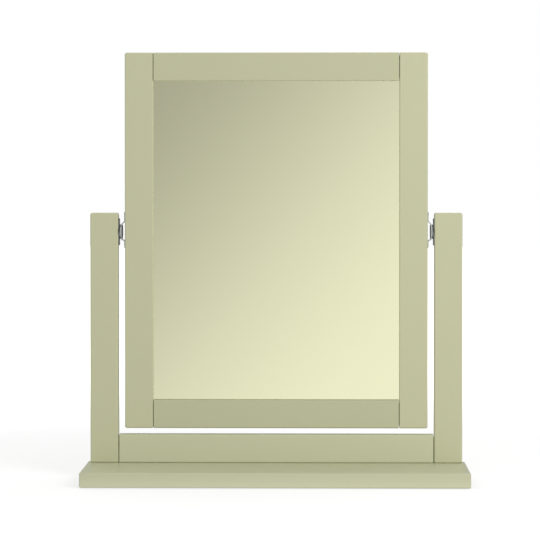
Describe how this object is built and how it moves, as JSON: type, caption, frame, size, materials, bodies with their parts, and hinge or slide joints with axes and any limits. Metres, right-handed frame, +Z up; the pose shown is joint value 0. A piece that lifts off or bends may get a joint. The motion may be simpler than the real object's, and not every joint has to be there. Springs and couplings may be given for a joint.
{
  "type": "dressing table mirror",
  "caption": "Free-standing dressing table mirror: a painted wooden frame with plain glass tilts on friction hinges between two posts on a flat board base.",
  "frame": {"origin": "on the supporting surface, under the middle of the base board", "axes": "+Z up; +X to the viewer's right along the hinge axis; +Y from the front of the mirror to its back; the frame stands upright at rest"},
  "size_m": [0.54, 0.15, 0.606],
  "materials": {
    "sage_paint": "satin sage green paint",
    "mirror": "silvered plain float glass",
    "hardboard": "smooth brown hardboard",
    "packing": "grey felt packing sheet",
    "beech": "bare beech",
    "plated_steel": "bright plated steel",
    "dark_steel": "blackened steel",
    "nylon": "milky nylon",
    "zinc_screws": "zinc plated steel",
    "felt": "grey brown felt"
  },
  "bodies": {
    "stand": {"base_board": "sage_paint", "left_post": "sage_paint", "right_post": "sage_paint", "lower_rail": "sage_paint", "front_left_pad": "felt", "front_right_pad": "felt", "rear_left_pad": "felt", "rear_right_pad": "felt", "lower_rail_screws": "zinc_screws", "left_post_screws": "zinc_screws", "right_post_screws": "zinc_screws", "left_post_plate_screws": "zinc_screws", "right_post_plate_screws": "zinc_screws", "left_rail_dowels": "beech", "right_rail_dowels": "beech", "left_post_plate": "dark_steel", "right_post_plate": "dark_steel", "left_pivot_rivet": "plated_steel", "right_pivot_rivet": "plated_steel", "left_friction_washer": "nylon", "right_friction_washer": "nylon"},
    "mirror_frame": {"left_stile": "sage_paint", "right_stile": "sage_paint", "top_rail": "sage_paint", "bottom_rail": "sage_paint", "mirror_glass": "mirror", "packing_sheet": "packing", "back_panel": "hardboard", "back_panel_screws": "zinc_screws", "bottom_left_dowels": "beech", "bottom_right_dowels": "beech", "top_left_dowels": "beech", "top_right_dowels": "beech", "left_pivot_bracket": "plated_steel", "right_pivot_bracket": "plated_steel", "left_spring_washer": "dark_steel", "right_spring_washer": "dark_steel", "left_bracket_screws": "zinc_screws", "right_bracket_screws": "zinc_screws"}
  },
  "joints": [
    {"name": "mirror_tilt", "type": "hinge", "parent": "stand", "child": "mirror_frame", "pos_m": [0, 0.063, 0.351], "axis": [1, 0, 0], "continuous": true}
  ]
}
